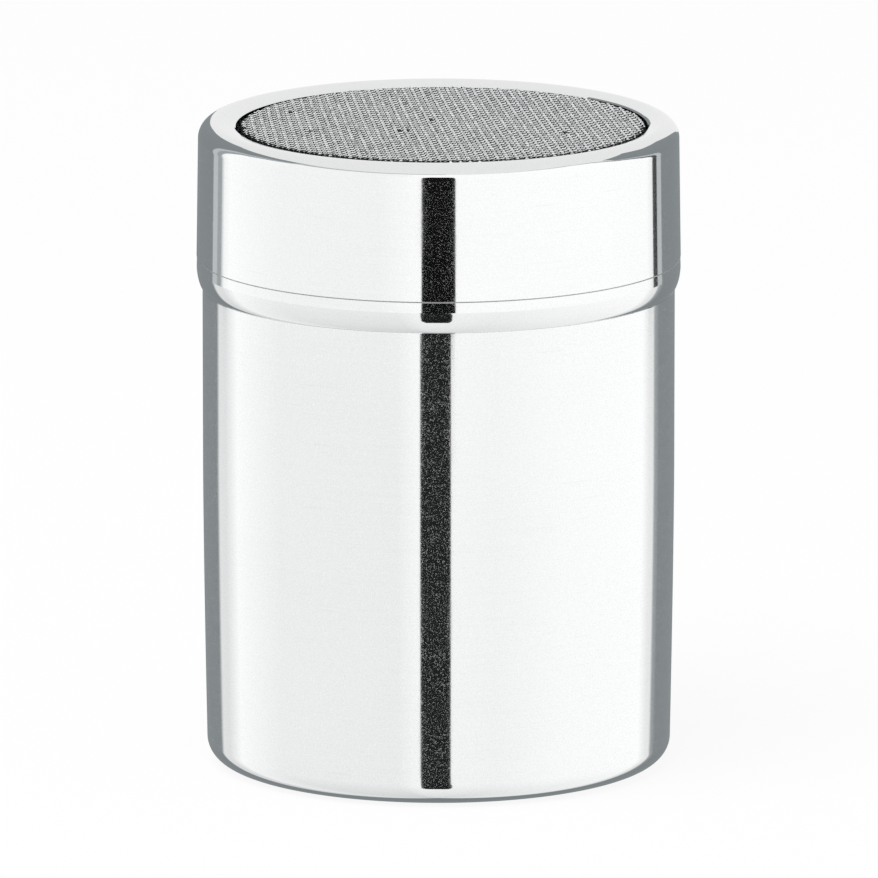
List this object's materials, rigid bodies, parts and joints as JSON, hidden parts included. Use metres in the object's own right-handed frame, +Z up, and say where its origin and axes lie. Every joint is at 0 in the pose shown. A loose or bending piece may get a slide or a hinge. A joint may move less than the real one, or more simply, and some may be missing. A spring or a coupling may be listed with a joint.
{
  "type": "mesh shaker",
  "caption": "Polished steel canister with a screw lid that holds a fine woven mesh, for dusting sugar, cocoa or flour.",
  "frame": {"origin": "on the table, under the centre of the canister's base", "axes": "+Z up along the axis of the canister and of the screw lid; the picture's camera is on the -Y side"},
  "size_m": [0.07, 0.07, 0.094],
  "materials": {
    "canister": "polished stainless steel with fine scratches",
    "lid_shell": "polished stainless steel",
    "mesh_screen": "bright woven stainless wire",
    "screen_ring": "satin stainless sheet",
    "threaded_sleeve": "satin stainless sheet"
  },
  "bodies": {
    "canister": {"canister": "canister"},
    "lid_lift": {"screen_ring": "screen_ring"},
    "lid": {"lid_shell": "lid_shell", "mesh_screen": "mesh_screen", "threaded_sleeve": "threaded_sleeve"}
  },
  "joints": [
    {"name": "lid_rise", "type": "slide", "parent": "canister", "child": "lid_lift", "axis": [0, 0, 1], "range_m": [0, 0.0225]},
    {"name": "lid_turn", "type": "hinge", "parent": "lid_lift", "child": "lid", "pos_m": [0, 0, 0.082], "axis": [0, 0, 1], "range_deg": [0, 1620]}
  ],
  "couplings": [
    {"joint": "lid_rise", "follows": "lid_turn", "m_per_rad": 0.00079577}
  ]
}
